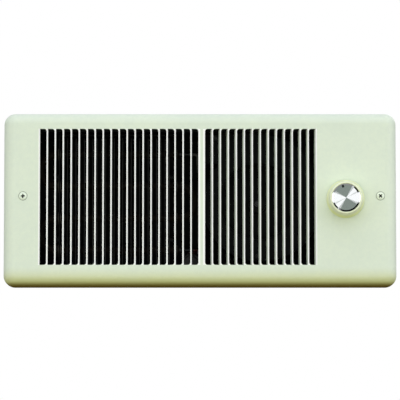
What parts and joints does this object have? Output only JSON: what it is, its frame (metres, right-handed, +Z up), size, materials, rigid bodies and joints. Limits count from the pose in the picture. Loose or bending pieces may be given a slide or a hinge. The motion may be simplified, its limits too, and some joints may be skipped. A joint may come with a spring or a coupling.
{
  "type": "recessed bathroom wall fan heater",
  "caption": "Recessed wall fan heater: enamelled louvred cover with a thermostat knob over a steel wall box holding a finned heating element and a centrifugal blower.",
  "frame": {"origin": "middle of the cover's rear rim, in the plane of the finished wall", "axes": "+X to the right seen from the room, +Y into the wall, +Z up"},
  "size_m": [0.413, 0.1354, 0.183],
  "materials": {
    "cover_enamel": "warm ivory baked enamel, satin",
    "screw_enamel": "ivory enamel on screw heads, dark recess",
    "galvanised": "galvanised sheet, dull spangle",
    "zinc_plate": "bright zinc-plated hardware",
    "black_steel": "black painted sheet steel",
    "lamination": "stacked blued laminations",
    "shaft_steel": "ground steel",
    "copper": "copper",
    "winding": "varnished winding under tape",
    "bronze": "sintered bronze",
    "brass": "brass, plain",
    "die_cast": "die-cast, matt",
    "element_sheath": "heat-browned steel sheath",
    "fin_metal": "thin aluminium sheet",
    "eyelet_ceramic": "unglazed steatite",
    "dark_phenolic": "dark phenolic moulding",
    "block_plastic": "cream moulding",
    "bushing_plastic": "black nylon",
    "knob_plastic": "cream moulded plastic",
    "knob_disc": "spun aluminium, circular grain",
    "lead_black": "black lead insulation",
    "lead_red": "red lead insulation",
    "lead_white": "white lead insulation",
    "lead_green": "green lead insulation",
    "ground_green": "green-coated screw"
  },
  "bodies": {
    "heater": {"front_cover": "cover_enamel", "cover_screws": "screw_enamel", "ear_nuts": "zinc_plate", "back_box": "galvanised", "entry_plate": "galvanised", "entry_screws": "zinc_plate", "cable_bushing": "bushing_plastic", "partition": "galvanised", "partition_screws": "zinc_plate", "element_frame": "galvanised", "frame_screws": "zinc_plate", "heating_element": "element_sheath", "element_fins": "fin_metal", "element_eyelets": "eyelet_ceramic", "element_pins": "zinc_plate", "limit_bracket": "galvanised", "limit_switch": "dark_phenolic", "limit_blades": "brass", "chassis": "galvanised", "chassis_screws": "zinc_plate", "blower_housing": "galvanised", "inlet_plate": "black_steel", "inlet_screws": "zinc_plate", "motor_stack": "lamination", "shading_rings": "copper", "motor_coil": "winding", "front_bridge": "die_cast", "rear_bridge": "die_cast", "front_bearing": "bronze", "rear_bearing": "bronze", "motor_screws": "zinc_plate", "control_bracket": "galvanised", "bracket_screws": "zinc_plate", "thermostat_case": "dark_phenolic", "thermostat_bushing": "brass", "thermostat_nut": "zinc_plate", "thermostat_blades": "brass", "terminal_block": "block_plastic", "terminal_screws": "brass", "ground_screw": "ground_green", "lead_line": "lead_black", "lead_load": "lead_red", "lead_element": "lead_red", "lead_neutral": "lead_white", "lead_motor": "lead_black", "lead_motor_return": "lead_white", "lead_ground": "lead_green"},
    "knob": {"control_knob": "knob_plastic", "knob_insert": "knob_disc", "thermostat_stem": "shaft_steel"},
    "blower": {"blower_wheel": "black_steel", "wheel_set_screw": "shaft_steel", "motor_shaft": "shaft_steel", "motor_rotor": "lamination"}
  },
  "joints": [
    {"name": "knob_turn", "type": "hinge", "parent": "heater", "child": "knob", "pos_m": [0.1527, -0.03, 0.0005], "axis": [0, 1, 0], "range_deg": [-134, 166]},
    {"name": "blower_spin", "type": "hinge", "parent": "heater", "child": "blower", "pos_m": [0.06125, 0.03, 0], "axis": [0, 1, 0], "continuous": true}
  ]
}
